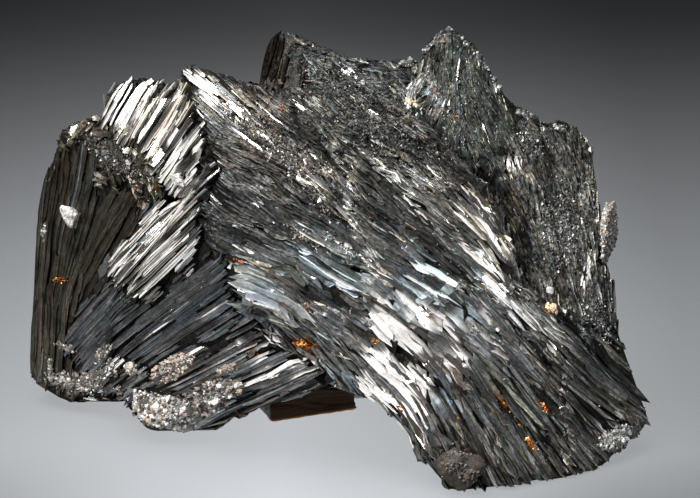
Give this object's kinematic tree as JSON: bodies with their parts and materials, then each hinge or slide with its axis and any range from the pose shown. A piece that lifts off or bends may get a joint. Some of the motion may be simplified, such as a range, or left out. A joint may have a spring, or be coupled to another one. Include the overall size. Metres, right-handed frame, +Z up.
{
  "type": "arsenopyrite specimen",
  "caption": "Free-standing mineral specimen: a metallic mass of bladed crystals in fans and sheaves, arched over a flat-cut base, with small seated grains of other minerals.",
  "frame": {"origin": "the middle of the specimen's box in plan, at the height of the surface it rests on", "axes": "+Z up, +X to the viewer's right along the specimen's length, -Y towards the viewer"},
  "size_m": [0.094, 0.0554, 0.059],
  "materials": {
    "arsenopyrite": "bright steel-grey metal blades, tarnished in places",
    "siderite": "dark brown cleavage block, slightly glossy",
    "crust": "pale sparkling granular crust",
    "rock": "matte brown-grey rock",
    "quartz": "white glassy grain",
    "mica": "pale pearly flake"
  },
  "bodies": {
    "root": {"arsenopyrite_mass": "arsenopyrite", "siderite_block": "siderite", "foot_crust": "crust", "rock_lump": "rock", "quartz_grain_left": "quartz", "quartz_grain_upper": "quartz", "quartz_grain_right": "quartz", "edge_flake": "mica"}
  },
  "joints": []
}
